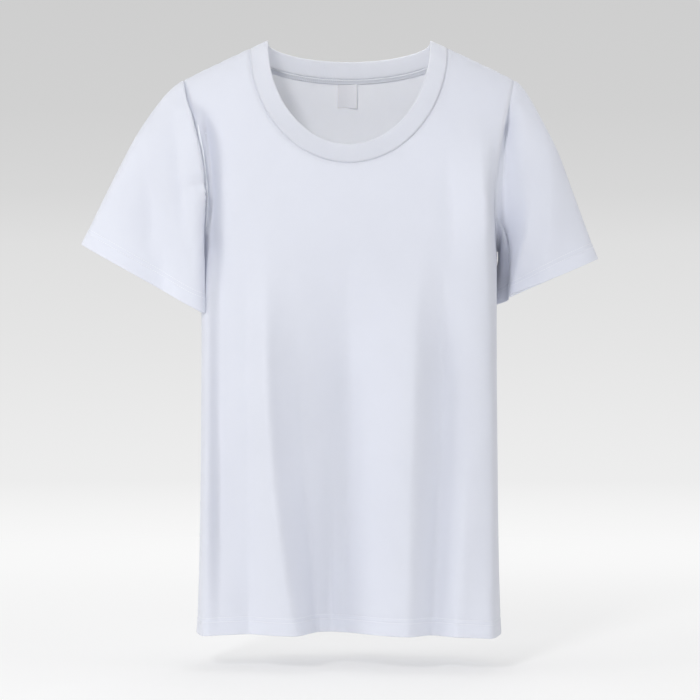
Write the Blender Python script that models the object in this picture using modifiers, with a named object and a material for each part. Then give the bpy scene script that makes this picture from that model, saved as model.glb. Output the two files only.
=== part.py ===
"""Crew neck t-shirt, filled out with nobody in it: front, back, sleeves, neck rib and label.

Metres, +Z up. The origin lies midway between the two points where the shoulder seams
meet the neck, at the height where the wearer's shoulders hold the shirt up. The front
faces -Y. Left and right are the wearer's own, so the left sleeve is at +X.
"""

from collections import namedtuple
from math import pi, radians

import bmesh
import bpy
import numpy as np

COLLECTION = "crew_neck_t_shirt"

# Thickness of the cloths, and the gap between two sewn pieces
JERSEY = 0.0014
RIB_KNIT = 0.0020
LABEL_TAPE = 0.0010
SEAM_GAP = 0.0003
WHITE_JERSEY = (0.80, 0.82, 0.86)
WHITE_RIB = (0.82, 0.84, 0.88)
WHITE_TAPE = (0.88, 0.88, 0.88)
COTTON_ROUGHNESS = 0.85
TAPE_ROUGHNESS = 0.60

# Cut of the body
BODY_LENGTH = 0.700
FRONT_HEM_LIFT = 0.006
NECK_HALF_WIDTH = 0.118
FRONT_NECK_DROP = 0.143
BACK_NECK_DROP = 0.031
RIB_WIDTH = 0.0225
SHOULDER_HALF_WIDTH = 0.198
SHOULDER_DROP = 0.038
UNDERARM_DROP = 0.245
CREST_ROUNDING = 0.135
CREST_SOFTENING = 0.050
# How much squarer than a circle's arc the chest is, seen from above
CHEST_FLATNESS = 0.7

# Label, sewn inside the back below the neck seam
LABEL_WIDTH = 0.024
LABEL_HEIGHT = 0.024
LABEL_TOP_DROP = 0.040
LABEL_CENTRE_X = -0.002
LABEL_CLEARANCE = 0.0006

# Steps of the grids, and how wide the narrow strip along a seam is, as a share of the edge.
# Crowding above 1 puts a sleeve's rings closer together near the armhole.
SHOULDER_STEPS = 7
NECK_STEPS = 18
SIDE_STEPS = 12
UNDER_YOKE_STEPS = 7
STRAP_STEPS = 6
SLEEVE_STEPS = 12
SLEEVE_CROWDING = 1.3
RIB_STEPS = 3
LABEL_STEPS = 4
EDGE_STRIP = 0.02

# How a panel's grid lies. Its straps stand on the neck oval at NECK_CORNER degrees round from
# the neck point and at YOKE_SHARE of the way up the armhole. The lines below a strap reach the
# hem beyond NECK_HEM_TURN, and the rows between sag by ROW_SAG at most.
NECK_CORNER = 40
YOKE_SHARE = 0.58
NECK_HEM_TURN = 0.44
ROW_SAG = 0.035

# Folds die away near the seams: over this turn beside a side seam, over this share of a
# sleeve's length below the armhole, and over this length where a fold ends.
CALM_SIDE_TURN = 0.12
CALM_SLEEVE_SHARE = 0.12
FADE_LENGTH = 0.060

# How a sleeve leaves the armhole: its lean out from the body at the underarm in degrees, and
# how far its lines keep their direction, as a share of their length, at each end.
UNDERARM_LEAN = 88
UNDERARM_PULL = 0.30
CUFF_PULL = 0.60

SHARP_ANGLE = 50
NORMAL_STEP = 1e-4
FRONT, BACK = -1, 1

# Level sections of the torso: the half width and the depths of front and back.
Section = namedtuple("Section", "drop half_width front_depth back_depth")
SECTIONS = (
    Section(-0.060, 0.244, 0.052, 0.050),
    Section(0.000, 0.244, 0.062, 0.062),
    Section(0.045, 0.244, 0.071, 0.072),
    Section(0.090, 0.236, 0.078, 0.084),
    Section(0.140, 0.222, 0.087, 0.094),
    Section(0.190, 0.200, 0.099, 0.099),
    Section(0.245, 0.177, 0.109, 0.099),
    Section(0.350, 0.1765, 0.113, 0.092),
    Section(0.500, 0.1775, 0.106, 0.084),
    Section(0.600, 0.1790, 0.101, 0.086),
    Section(0.700, 0.1820, 0.098, 0.090),
)
SHOULDER_TOP_WIDTH = SECTIONS[1].half_width

# How far out the armhole seam runs at each level, on the front and on the back.
ArmholePoint = namedtuple("ArmholePoint", "drop front_x back_x")
ARMHOLE = (
    ArmholePoint(0.038, 0.1980, 0.1980),
    ArmholePoint(0.090, 0.1860, 0.1885),
    ArmholePoint(0.140, 0.1760, 0.1810),
    ArmholePoint(0.190, 0.1715, 0.1765),
    ArmholePoint(0.245, 0.1770, 0.1770),
)

# Folds, seen from the front or the back: where each starts, bends and ends, how wide and
# deep it is (a trough is negative), and the levels where it starts, is full and has faded.
# BELOW is under the hem: the fold runs out over it.
Fold = namedtuple(
    "Fold", "start_x middle_x end_x half_width depth start_drop full_drop fade_drop end_drop"
)
BELOW = 0.800
FRONT_FOLDS = (
    Fold(-0.148, -0.152, -0.152, 0.020, -0.011, 0.300, 0.440, BELOW, 0.700),
    Fold(-0.096, -0.089, -0.058, 0.022, 0.008, 0.290, 0.520, BELOW, 0.700),
    Fold(-0.060, -0.050, -0.036, 0.014, -0.004, 0.400, 0.560, BELOW, 0.700),
    Fold(-0.002, -0.003, -0.004, 0.027, -0.011, 0.320, 0.500, BELOW, 0.700),
    Fold(0.050, 0.052, 0.054, 0.022, 0.006, 0.330, 0.540, BELOW, 0.700),
    Fold(0.110, 0.105, 0.092, 0.024, -0.012, 0.300, 0.490, BELOW, 0.700),
    Fold(0.158, 0.155, 0.128, 0.018, 0.009, 0.130, 0.300, 0.680, 0.690),
)
BACK_FOLDS = (
    Fold(-0.128, -0.122, -0.112, 0.017, -0.007, 0.330, 0.560, BELOW, 0.700),
    Fold(-0.086, -0.080, -0.068, 0.021, 0.005, 0.280, 0.540, BELOW, 0.700),
    Fold(-0.030, -0.034, -0.026, 0.020, -0.009, 0.260, 0.600, BELOW, 0.700),
    Fold(0.022, 0.018, 0.024, 0.024, 0.005, 0.340, 0.580, BELOW, 0.700),
    Fold(0.078, 0.072, 0.066, 0.019, -0.008, 0.300, 0.570, BELOW, 0.700),
    Fold(0.132, 0.128, 0.120, 0.018, 0.005, 0.260, 0.540, BELOW, 0.700),
)
# On the front of each sleeve, measured out from the middle of the shirt.
SLEEVE_FOLDS = {
    "right_sleeve": (
        Fold(0.200, 0.184, 0.179, 0.009, 0.005, 0.050, 0.090, BELOW, 0.330),
        Fold(0.206, 0.199, 0.192, 0.009, -0.004, 0.070, 0.120, 0.230, 0.240),
        Fold(0.240, 0.236, 0.230, 0.026, -0.010, 0.110, 0.220, BELOW, 0.330),
    ),
    "left_sleeve": (
        Fold(0.194, 0.188, 0.182, 0.012, -0.012, 0.060, 0.110, BELOW, 0.320),
        Fold(0.210, 0.203, 0.196, 0.012, 0.006, 0.060, 0.120, BELOW, 0.320),
        Fold(0.244, 0.240, 0.232, 0.018, -0.004, 0.150, 0.220, BELOW, 0.285),
    ),
}

# Each sleeve's cuff: the inner and the outer end of its width, how far forward each end
# lies, its depth, and the slopes of the inner and outer sides below the horizontal. Then how
# its sleeve leaves the armhole: the pull at the shoulder, how fast the lean grows towards the
# underarm, how far its front leans forward there, how closely its front lines gather towards
# the inner end of the cuff, and how far its front is drawn in beside the body.
Cuff = namedtuple(
    "Cuff",
    "side inner_x inner_drop inner_forward outer_x outer_drop outer_forward depth "
    "inner_slope outer_slope shoulder_pull lean_power forward_lean gathering tuck tuck_back",
)
CUFFS = {
    "right_sleeve": Cuff(
        -1, 0.1722, 0.319, 0.048, 0.319, 0.235, 0.006, 0.082, 86, 62, 0.65, 0.8, 1.2, 2.0,
        0.0025, 0.012,
    ),
    "left_sleeve": Cuff(
        1, 0.1705, 0.309, -0.036, 0.297, 0.253, 0.014, 0.106, 88, 67, 0.42, 2.5, 0.0, 1.0, 0.0, 0.0
    ),
}


def through(rows, column, drop):
    """A smooth curve of one column of a table, read at the given drops."""
    knots = np.array([row.drop for row in rows])
    values = np.array([getattr(row, column) for row in rows])
    secants = np.diff(values) / np.diff(knots)
    before, after = secants[:-1], secants[1:]
    rising = before * after > 0
    inner = 2 * before * after / np.where(rising, before + after, 1.0)
    slopes = np.concatenate([secants[:1], np.where(rising, inner, 0.0), secants[-1:]])
    drop = np.clip(drop, knots[0], knots[-1])
    place = np.clip(np.searchsorted(knots, drop, side="right") - 1, 0, len(knots) - 2)
    span = knots[place + 1] - knots[place]
    t = (drop - knots[place]) / span
    return (
        (1 + 2 * t) * (1 - t) ** 2 * values[place]
        + t * (1 - t) ** 2 * span * slopes[place]
        + t * t * (3 - 2 * t) * values[place + 1]
        + t * t * (t - 1) * span * slopes[place + 1]
    )


def eased(share):
    share = np.clip(share, 0.0, 1.0)
    return share * share * (3 - 2 * share)


def unit(vectors):
    return vectors / np.linalg.norm(vectors, axis=-1, keepdims=True)


def crest_height(turn):
    """Height of the shoulder line, carried on over the neck, at a turn of -1 to 1 across."""
    across = SHOULDER_TOP_WIDTH * np.sin(turn * pi / 2)
    reach = np.hypot(across, CREST_SOFTENING)
    neck = np.hypot(NECK_HALF_WIDTH, CREST_SOFTENING)
    tip = np.hypot(SHOULDER_HALF_WIDTH, CREST_SOFTENING)
    return -SHOULDER_DROP * (reach - neck) / (tip - neck)


def fall_at(girth):
    """Height lost at a distance down the cloth, which starts level at the crest."""
    quarter = CREST_ROUNDING * pi / 2
    rounded = CREST_ROUNDING * (1 - np.cos(np.minimum(girth, quarter) / CREST_ROUNDING))
    return rounded + np.maximum(girth - quarter, 0.0)


def girth_at(fall):
    """The distance down the cloth that loses this height, the inverse of fall_at."""
    rounded = np.arccos(1 - np.clip(fall / CREST_ROUNDING, 0.0, 1.0)) * CREST_ROUNDING
    return rounded + np.maximum(fall - CREST_ROUNDING, 0.0)


def torso_point(side, turn, girth):
    """A point of the smooth torso: turn runs -1 to 1 across, girth down from the crest."""
    height = crest_height(turn) - fall_at(girth)
    half_width = through(SECTIONS, "half_width", -height)
    depth = through(SECTIONS, "front_depth" if side == FRONT else "back_depth", -height)
    fullness = np.sin(np.minimum(girth / CREST_ROUNDING, pi / 2))
    round_form = np.cos(turn * pi / 2)
    flatness = CHEST_FLATNESS if side == FRONT else 0.0
    x = half_width * np.sin(turn * pi / 2)
    y = side * depth * round_form * (1 + flatness * (1 - round_form)) * fullness
    return np.stack([x, y, height], axis=-1)


def torso_normal(side, turn, girth):
    low, high = np.maximum(girth - NORMAL_STEP, 0.0), girth + NORMAL_STEP
    left, right = turn + NORMAL_STEP, turn - NORMAL_STEP
    across = torso_point(side, left, girth) - torso_point(side, right, girth)
    down = torso_point(side, turn, high) - torso_point(side, turn, low)
    return unit(np.cross(across, down)) * side


def turn_at(x, height):
    half_width = through(SECTIONS, "half_width", -height)
    return np.arcsin(np.clip(x / half_width, -1.0, 1.0)) * 2 / pi


def on_torso(x, height):
    """The turn and girth of the torso point seen at this x and height."""
    turn = turn_at(x, height)
    return np.stack([turn, girth_at(crest_height(turn) - height)], axis=-1)


def steps_between(start, stop, steps, strips=()):
    """Even steps from start to stop, with a narrow strip at an end that meets a seam."""
    places = np.linspace(start, stop, steps + 1)
    strip = EDGE_STRIP * (stop - start)
    if "first" in strips:
        places = np.insert(places, 1, start + strip)
    if "last" in strips:
        places = np.insert(places, -1, stop - strip)
    return places


def hem_edge(side):
    """The hem from the right side seam to the left one."""
    right = -1 + (1 - NECK_HEM_TURN) * steps_between(0, 1, SHOULDER_STEPS + 1, ("first",))
    middle = np.linspace(-NECK_HEM_TURN, NECK_HEM_TURN, NECK_STEPS + 1)[1:-1]
    turn = np.concatenate([right, middle, -right[::-1]])
    lift = FRONT_HEM_LIFT * (1 - turn**2) if side == FRONT else 0.0
    height = -BODY_LENGTH + lift
    return np.stack([turn, girth_at(crest_height(turn) - height)], axis=-1)


def armhole_shares():
    """Places up the armhole: to the yoke line, then to the tip of the shoulder."""
    lower = steps_between(0, YOKE_SHARE, UNDER_YOKE_STEPS, ("last",))
    upper = steps_between(YOKE_SHARE, 1, STRAP_STEPS, ("last",))
    return np.concatenate([lower, upper[1:]])


def armhole_edge(side):
    """The armhole seam from the underarm up to the tip of the left shoulder."""
    rise = (1 - np.cos(pi * armhole_shares())) / 2
    height = -UNDERARM_DROP + (UNDERARM_DROP - SHOULDER_DROP) * rise
    edge = on_torso(through(ARMHOLE, "front_x" if side == FRONT else "back_x", -height), height)
    edge[0, 0] = 1.0
    return edge


def side_edge(side):
    """The left side seam from the hem to the underarm, then the armhole."""
    height = np.linspace(-BODY_LENGTH, -UNDERARM_DROP, SIDE_STEPS + 1)[:-1]
    seam = np.stack([np.ones_like(height), girth_at(crest_height(1.0) - height)], axis=-1)
    return np.concatenate([seam, armhole_edge(side)])


def shoulder_edge():
    """The right shoulder seam from its tip to the neck."""
    tip = turn_at(-SHOULDER_HALF_WIDTH, -SHOULDER_DROP)
    neck = turn_at(-NECK_HALF_WIDTH, 0.0)
    turn = tip + (neck - tip) * steps_between(0, 1, SHOULDER_STEPS, ("first", "last"))
    return np.stack([turn, np.zeros_like(turn)], axis=-1)


def neckline_edge(side):
    """The neckline as an oval, from the right neck point down and up to the left one."""
    corner = radians(NECK_CORNER)
    drop = FRONT_NECK_DROP if side == FRONT else BACK_NECK_DROP
    down_strap = 1 - steps_between(0, 1, STRAP_STEPS, ("last",))[::-1]
    first = np.arcsin(fall_at(girth_at(drop * np.sin(corner)) * down_strap) / drop)
    middle = np.linspace(corner, pi - corner, NECK_STEPS + 1)[1:-1]
    sweep = np.concatenate([first, middle, pi - first[::-1]])
    return on_torso(-NECK_HALF_WIDTH * np.cos(sweep), -drop * np.sin(sweep))


def share_along(points):
    length = np.concatenate([[0], np.cumsum(np.linalg.norm(np.diff(points, axis=0), axis=-1))])
    return length / length[-1]


def blended(bottom, top, left, right, sag=0.0):
    """A grid of places filled in from its four edges, its rows sagging in the middle."""
    s = share_along(bottom)[None, :, None]
    t = share_along(left)[:, None, None]
    sides = (1 - s) * left[:, None] + s * right[:, None]
    ends = (1 - t) * bottom[None] + t * top[None]
    low = (1 - s) * bottom[0] + s * bottom[-1]
    high = (1 - s) * top[0] + s * top[-1]
    bow = sag * (4 * s * (1 - s)) * (4 * t * (1 - t))
    return sides + ends - (1 - t) * low - t * high + bow * np.array([0.0, 1.0])


def panel_places(side):
    """Turn and girth of every point of a panel. The neck is a notch between two straps."""
    left_side = side_edge(side)
    right_side = left_side * (-1, 1)
    neckline = neckline_edge(side)
    shoulder = shoulder_edge()
    corner = STRAP_STEPS + 1
    yoke = len(left_side) - 1 - corner
    across = steps_between(0, 1, SHOULDER_STEPS, ("first", "last"))[:, None]
    right_yoke = right_side[yoke] + (neckline[corner] - right_side[yoke]) * across
    left_yoke = (right_yoke * (-1, 1))[::-1]
    yoke_line = np.concatenate([right_yoke, neckline[corner + 1 : -corner - 1], left_yoke])
    hem = hem_edge(side)
    body = blended(hem, yoke_line, right_side[: yoke + 1], left_side[: yoke + 1], ROW_SAG)
    strap = blended(right_yoke, shoulder, right_side[yoke:], neckline[corner::-1])
    places = np.full((len(left_side), len(hem), 2), np.nan)
    places[: yoke + 1] = body
    places[yoke:, : len(shoulder)] = strap
    places[yoke:, -len(shoulder) :] = (strap * (-1, 1))[:, ::-1]
    return places


def fold_height(folds, points):
    """How far the folds lift the cloth at these points of the smooth shape."""
    x, drop = points[..., 0], -points[..., 2]
    total = np.zeros_like(x)
    for fold in folds:
        share = np.clip((drop - fold.start_drop) / (fold.end_drop - fold.start_drop), 0.0, 1.0)
        bend = fold.middle_x - (fold.start_x + fold.end_x) / 2
        middle = fold.start_x + (fold.end_x - fold.start_x) * share + 4 * bend * share * (1 - share)
        growth = eased((drop - fold.start_drop) / (fold.full_drop - fold.start_drop))
        growth = growth * eased((fold.fade_drop - drop) / FADE_LENGTH)
        total += fold.depth * growth * np.exp(-(((x - middle) / fold.half_width) ** 2))
    return total


def outward_along(points, normals, centre, closed=False):
    """Directions in the cloth, square to an edge and away from the centre."""
    if closed:
        along = np.roll(points, -1, axis=0) - np.roll(points, 1, axis=0)
    else:
        along = np.gradient(points, axis=0)
    out = unit(np.cross(normals, along))
    return out * np.sign(np.sum(out * (points - centre)))


def seam_edges(rows, columns):
    """Rows and columns of the points on a panel's side edges, shoulder seams and neckline."""
    up = np.arange(rows)
    shoulder = np.arange(SHOULDER_STEPS + 3)
    yoke = rows - STRAP_STEPS - 2
    strap = np.arange(yoke, rows)
    neck = np.arange(shoulder[-1], columns - shoulder[-1])
    neck_rows = np.concatenate([strap[:0:-1], np.full_like(neck, yoke), strap[1:]])
    side = np.full(len(strap) - 1, neck[0])
    neck_columns = np.concatenate([side, neck, np.full_like(side, neck[-1])])
    return (
        (up, np.zeros_like(up)),
        (up, np.full_like(up, columns - 1)),
        (np.full_like(shoulder, rows - 1), shoulder),
        (np.full_like(shoulder, rows - 1), columns - 1 - shoulder),
        (neck_rows, neck_columns),
    )


def panel_points(side):
    """A panel's points, folds and all, with its seams drawn in by half the seam gap."""
    places = panel_places(side)
    turn, girth = places[..., 0], places[..., 1]
    smooth = torso_point(side, turn, girth)
    normals = torso_normal(side, turn, girth)
    folds = FRONT_FOLDS if side == FRONT else BACK_FOLDS
    calm_at_seam = eased((1 - np.abs(turn)) / CALM_SIDE_TURN)
    points = smooth + normals * (fold_height(folds, smooth) * calm_at_seam)[..., None]
    centre = np.nanmean(smooth, axis=(0, 1))
    for edge in seam_edges(*turn.shape):
        points[edge] -= outward_along(smooth[edge], normals[edge], centre) * SEAM_GAP / 2
    return points


def mesh_object(name, points, thickness, material, closed=False, flip=False):
    """A grid of points as cloth: an open surface thickened to its inner side."""
    rows, columns = points.shape[:2]
    mesh = bmesh.new()
    verts = [
        [None if np.isnan(point[0]) else mesh.verts.new(point) for point in row]
        for row in points
    ]
    for row in range(rows - 1):
        for column in range(columns if closed else columns - 1):
            following = (column + 1) % columns
            corners = [
                verts[row][column],
                verts[row][following],
                verts[row + 1][following],
                verts[row + 1][column],
            ]
            if None not in corners:
                mesh.faces.new(reversed(corners) if flip else corners)
    data = bpy.data.meshes.new(name)
    mesh.to_mesh(data)
    mesh.free()
    data.shade_smooth()
    data.set_sharp_from_angle(angle=radians(SHARP_ANGLE))
    data.materials.append(material)
    obj = bpy.data.objects.new(name, data)
    bpy.data.collections[COLLECTION].objects.link(obj)
    wall = obj.modifiers.new("wall", "SOLIDIFY")
    wall.thickness = thickness
    wall.offset = -1


def cloth_material(name, colour, roughness):
    material = bpy.data.materials.new(name)
    material.use_nodes = True
    shader = material.node_tree.nodes["Principled BSDF"]
    shader.inputs["Base Color"].default_value = (*colour, 1)
    shader.inputs["Roughness"].default_value = roughness
    shader.inputs["Metallic"].default_value = 0.0
    return material


def seam_ring(front_edge, back_edge):
    """A closed seam along the front edge and back along the back edge, on the torso."""
    edges = ((FRONT, front_edge), (BACK, back_edge[-2:0:-1]))
    points = np.concatenate([torso_point(side, *edge.T) for side, edge in edges])
    normals = np.concatenate([torso_normal(side, *edge.T) for side, edge in edges])
    return points, normals


def cuff_ring(cuff, rise, front):
    """The cuff's oval: rise 0 is its inner end and 1 its outer end."""
    inner = np.array([cuff.inner_x, -cuff.inner_forward, -cuff.inner_drop])
    outer = np.array([cuff.outer_x, -cuff.outer_forward, -cuff.outer_drop])
    angle = pi * np.where(front, rise**cuff.gathering, rise)[:, None]
    ring = (inner + outer) / 2 + (inner - outer) / 2 * np.cos(angle)
    ring[:, 1] += np.where(front, -1, 1) * np.sin(angle[:, 0]) * cuff.depth / 2
    return ring


def sleeve_points(name):
    """Rings from the armhole to the cuff, leaving the seam smoothly at the shoulder."""
    cuff = CUFFS[name]
    start, facing = seam_ring(armhole_edge(FRONT), armhole_edge(BACK))
    away = -outward_along(start, facing, start.mean(axis=0), closed=True)
    shares = armhole_shares()
    rise = np.concatenate([shares, shares[-2:0:-1]])
    front = np.arange(len(rise)) < len(shares)
    end = cuff_ring(cuff, rise, front)
    lean = radians(UNDERARM_LEAN) * eased(1 - rise)[:, None] ** cuff.lean_power
    leave = away * np.cos(lean) + facing * np.sin(lean)
    leave[front, 1] -= cuff.forward_lean * np.sin(lean[front, 0]) ** 2
    leave = unit(leave)
    slope = np.radians(cuff.inner_slope + (cuff.outer_slope - cuff.inner_slope) * rise)
    arrive = np.stack([np.cos(slope), np.zeros_like(slope), -np.sin(slope)], axis=-1)
    start = start + (away + facing * np.sin(lean)) * SEAM_GAP / 2
    length = np.linalg.norm(end - start, axis=-1, keepdims=True)
    pull = UNDERARM_PULL + (cuff.shoulder_pull - UNDERARM_PULL) * rise[:, None]
    steps = steps_between(0, 1, SLEEVE_STEPS, ("first",)) ** SLEEVE_CROWDING
    t = steps[:, None, None]
    rings = (
        (1 + 2 * t) * (1 - t) ** 2 * start
        + t * (1 - t) ** 2 * length * pull * leave
        + t * t * (3 - 2 * t) * end
        + t * t * (t - 1) * length * CUFF_PULL * arrive
    )
    beside_body = np.where(front, np.exp(-(((rise - 0.25) / 0.13) ** 2)), 0.0)
    beside_body = np.sin(pi * steps[:, None]) ** 2 * beside_body
    rings[..., 0] -= cuff.tuck * beside_body
    rings[..., 1] += cuff.tuck_back * beside_body
    normals = ring_normals(rings)
    facing_front = np.clip(-normals[..., 1], 0.0, 1.0)
    calm_at_seam = eased(steps / CALM_SLEEVE_SHARE)[:, None]
    lift = fold_height(SLEEVE_FOLDS[name], rings) * facing_front * calm_at_seam
    return (rings + normals * lift[..., None]) * (cuff.side, 1, 1)


def ring_normals(rings):
    around = np.roll(rings, -1, axis=1) - np.roll(rings, 1, axis=1)
    along = np.gradient(rings, axis=0)
    return unit(np.cross(along, around))


def rib_points():
    """The rib from the neck seam in towards the neck, carrying on the line of the cloth."""
    seam, facing = seam_ring(neckline_edge(FRONT), neckline_edge(BACK))
    away = -outward_along(seam, facing, seam.mean(axis=0), closed=True)
    steps = np.linspace(0, 1, RIB_STEPS + 1)[:, None, None]
    return seam + away * (SEAM_GAP / 2 + steps * RIB_WIDTH)


def label_points():
    """A small sheet just inside the back panel, at the middle of the neck."""
    x = LABEL_CENTRE_X + LABEL_WIDTH * (np.linspace(0, 1, LABEL_STEPS + 1) - 0.5)
    height = -LABEL_TOP_DROP - LABEL_HEIGHT * np.linspace(0, 1, LABEL_STEPS + 1)
    grid_x, grid_height = np.meshgrid(x, height)
    places = on_torso(grid_x.ravel(), grid_height.ravel()).reshape(*grid_x.shape, 2)
    points = torso_point(BACK, places[..., 0], places[..., 1])
    normals = torso_normal(BACK, places[..., 0], places[..., 1])
    return points - normals * (JERSEY + LABEL_CLEARANCE)


def clear_scene():
    for obj in list(bpy.data.objects):
        bpy.data.objects.remove(obj, do_unlink=True)


def build_shirt():
    for name, side in (("front_panel", FRONT), ("back_panel", BACK)):
        jersey = cloth_material(name, WHITE_JERSEY, COTTON_ROUGHNESS)
        mesh_object(name, panel_points(side), JERSEY, jersey, flip=side == BACK)
    for name, cuff in CUFFS.items():
        jersey = cloth_material(name, WHITE_JERSEY, COTTON_ROUGHNESS)
        mesh_object(name, sleeve_points(name), JERSEY, jersey, closed=True, flip=cuff.side == 1)
    rib_knit = cloth_material("neck_rib", WHITE_RIB, COTTON_ROUGHNESS)
    mesh_object("neck_rib", rib_points(), RIB_KNIT, rib_knit, closed=True)
    tape = cloth_material("neck_label", WHITE_TAPE, TAPE_ROUGHNESS)
    mesh_object("neck_label", label_points(), LABEL_TAPE, tape)


clear_scene()
bpy.context.scene.collection.children.link(bpy.data.collections.new(COLLECTION))
build_shirt()
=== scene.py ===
from collections import namedtuple
from math import pi, radians

import bpy
import numpy as np
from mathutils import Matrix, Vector
from mathutils.kdtree import KDTree


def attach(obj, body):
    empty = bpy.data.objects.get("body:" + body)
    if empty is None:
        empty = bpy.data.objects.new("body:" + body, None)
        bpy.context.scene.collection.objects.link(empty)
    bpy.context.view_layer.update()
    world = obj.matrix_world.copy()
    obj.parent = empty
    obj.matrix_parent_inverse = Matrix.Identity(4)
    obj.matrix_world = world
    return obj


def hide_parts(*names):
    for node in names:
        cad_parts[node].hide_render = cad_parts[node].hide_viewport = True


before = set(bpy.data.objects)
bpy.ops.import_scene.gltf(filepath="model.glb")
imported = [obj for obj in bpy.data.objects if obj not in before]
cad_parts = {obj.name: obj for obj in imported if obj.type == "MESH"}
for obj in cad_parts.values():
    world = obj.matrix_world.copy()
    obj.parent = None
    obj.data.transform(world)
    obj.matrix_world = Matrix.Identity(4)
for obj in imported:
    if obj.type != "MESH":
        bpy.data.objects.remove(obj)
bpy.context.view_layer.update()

# Camera: level with the middle of the shirt, far enough off that it looks nearly flat.
# It is made first, so that everything after it can be looked at through it.
CAMERA_PLACE = (0.0012, -3.2, -0.362)
SENSOR_WIDTH = 36
FOCAL_LENGTH = 137.14

camera = bpy.data.objects.new("camera", bpy.data.cameras.new("camera"))
camera.data.sensor_width = SENSOR_WIDTH
camera.data.lens = FOCAL_LENGTH
camera.data.dof.use_dof = False
camera.location = CAMERA_PLACE
camera.rotation_euler = (radians(90), 0, 0)
bpy.context.scene.collection.objects.link(camera)
bpy.context.scene.camera = camera


# Studio ground: one sheet of pale matte paper on the floor, swept up into a round wall far
# behind and on every side, so that no corner shows from anywhere round the shirt.
GROUND_HEIGHT = -0.738
GROUND_RADIUS = 4.5
SWEEP_RADIUS = 2.0
SWEEP_ANGLES = (15, 30, 45, 60, 75, 90)
WALL_TOP = 5.0
ROOM_LIGHT = 0.82
PAPER_COLOUR = (0.86, 0.86, 0.86)

# Away from the shirt the paper's brightness is a painted glow, not light from the lamps, and
# painted shade darkens it outwards and upwards. A fade gives two distances and the shares there,
# and a painted wall shade a part of the way up to the shade height, and the share there.
FLOOR_FADE = (0.8, GROUND_RADIUS, 0.985, 0.850)
GLOW_FADE = (0.4, 2.2, 0.55, 1.0)
PAINTED_SHADE_HEIGHT = 0.91
PAINTED_WALL_SHADES = ((0.23, 0.925), (0.45, 0.870), (0.56, 0.805), (0.75, 0.750))
DARKEST_PAINTED_SHADE = 0.73

bpy.ops.object.select_all(action="DESELECT")
bpy.ops.mesh.primitive_circle_add(
    vertices=96, radius=GROUND_RADIUS, fill_type="NGON", location=(0, 0, GROUND_HEIGHT)
)
ground = bpy.context.object
ground.name = ground.data.name = "studio_ground"
bpy.ops.object.transform_apply(location=True)
bpy.ops.object.mode_set(mode="EDIT")
bpy.ops.mesh.select_mode(type="EDGE")
bpy.ops.mesh.select_all(action="SELECT")
sweep = np.radians(SWEEP_ANGLES)
wall_radii = [*(GROUND_RADIUS + SWEEP_RADIUS * np.sin(sweep)), GROUND_RADIUS + SWEEP_RADIUS]
wall_heights = [*(GROUND_HEIGHT + SWEEP_RADIUS * (1 - np.cos(sweep))), WALL_TOP]
ring_radius, ring_height = GROUND_RADIUS, GROUND_HEIGHT
for next_radius, next_height in zip(wall_radii, wall_heights):
    growth = float(next_radius / ring_radius)
    bpy.ops.mesh.extrude_edges_move(
        TRANSFORM_OT_translate={"value": (0, 0, float(next_height - ring_height))}
    )
    bpy.ops.transform.resize(value=(growth, growth, 1), center_override=(0, 0, 0))
    ring_radius, ring_height = next_radius, next_height
bpy.ops.object.mode_set(mode="OBJECT")
ground.data.shade_smooth()


def plain_material(name, colour, roughness, shine=0.5):
    """A material of one even colour, with its node tree and its shader."""
    material = bpy.data.materials.new(name)
    material.use_nodes = True
    shader = material.node_tree.nodes["Principled BSDF"]
    shader.inputs["Base Color"].default_value = (*colour, 1)
    shader.inputs["Roughness"].default_value = roughness
    shader.inputs["Specular IOR Level"].default_value = shine
    return material, material.node_tree, shader


def add_node(tree, kind, links=(), **settings):
    """A node with its settings, linked to what feeds its inputs."""
    node = tree.nodes.new("ShaderNode" + kind)
    for setting, value in settings.items():
        setattr(node, setting, value)
    for socket, source in links:
        tree.links.new(source, node.inputs[socket])
    return node


def add_range(tree, value, limits, **settings):
    """A node that turns a value between two limits into one between two others."""
    node = add_node(tree, "MapRange", [("Value", value)], **settings)
    for socket, limit in zip(("From Min", "From Max", "To Min", "To Max"), limits):
        node.inputs[socket].default_value = limit
    return node.outputs["Result"]


paper, tree, shader = plain_material("studio_paper", PAPER_COLOUR, 1.0, 0.0)
place = add_node(tree, "TexCoord").outputs["Object"]
flatten = add_node(tree, "VectorMath", [(0, place)], operation="MULTIPLY")
flatten.inputs[1].default_value = (1, 1, 0)
length = add_node(tree, "VectorMath", [(0, flatten.outputs["Vector"])], operation="LENGTH")
distance = length.outputs["Value"]
painted_floor_falloff = add_range(tree, distance, FLOOR_FADE)
height = add_node(tree, "SeparateXYZ", [(0, place)]).outputs["Z"]
rise = add_range(tree, height, (GROUND_HEIGHT, PAINTED_SHADE_HEIGHT, 0.0, 1.0))
painted_wall_shade = add_node(tree, "ValToRGB", [("Fac", rise)])
painted_wall_shade.color_ramp.elements[0].color = (1.0, 1.0, 1.0, 1)
painted_wall_shade.color_ramp.elements[1].color = (DARKEST_PAINTED_SHADE, DARKEST_PAINTED_SHADE, DARKEST_PAINTED_SHADE, 1)
for position, tone in PAINTED_WALL_SHADES:
    painted_wall_shade.color_ramp.elements.new(position).color = (tone, tone, tone, 1)
# The camera sees the painted glow at full strength. Every other ray gets only ROOM_LIGHT of it, so
# the paper is painted brighter than the light it gives the room.
seen = add_node(tree, "LightPath").outputs["Is Camera Ray"]
strength = add_range(tree, seen, (0.0, 1.0, ROOM_LIGHT, 1.0))
painted_glow_colour = add_node(
    tree, "VectorMath", [(0, painted_wall_shade.outputs["Color"]), ("Scale", painted_floor_falloff)],
    operation="SCALE",
)
painted_glow = add_node(tree, "Emission", [("Color", painted_glow_colour.outputs["Vector"]), ("Strength", strength)])
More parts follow.
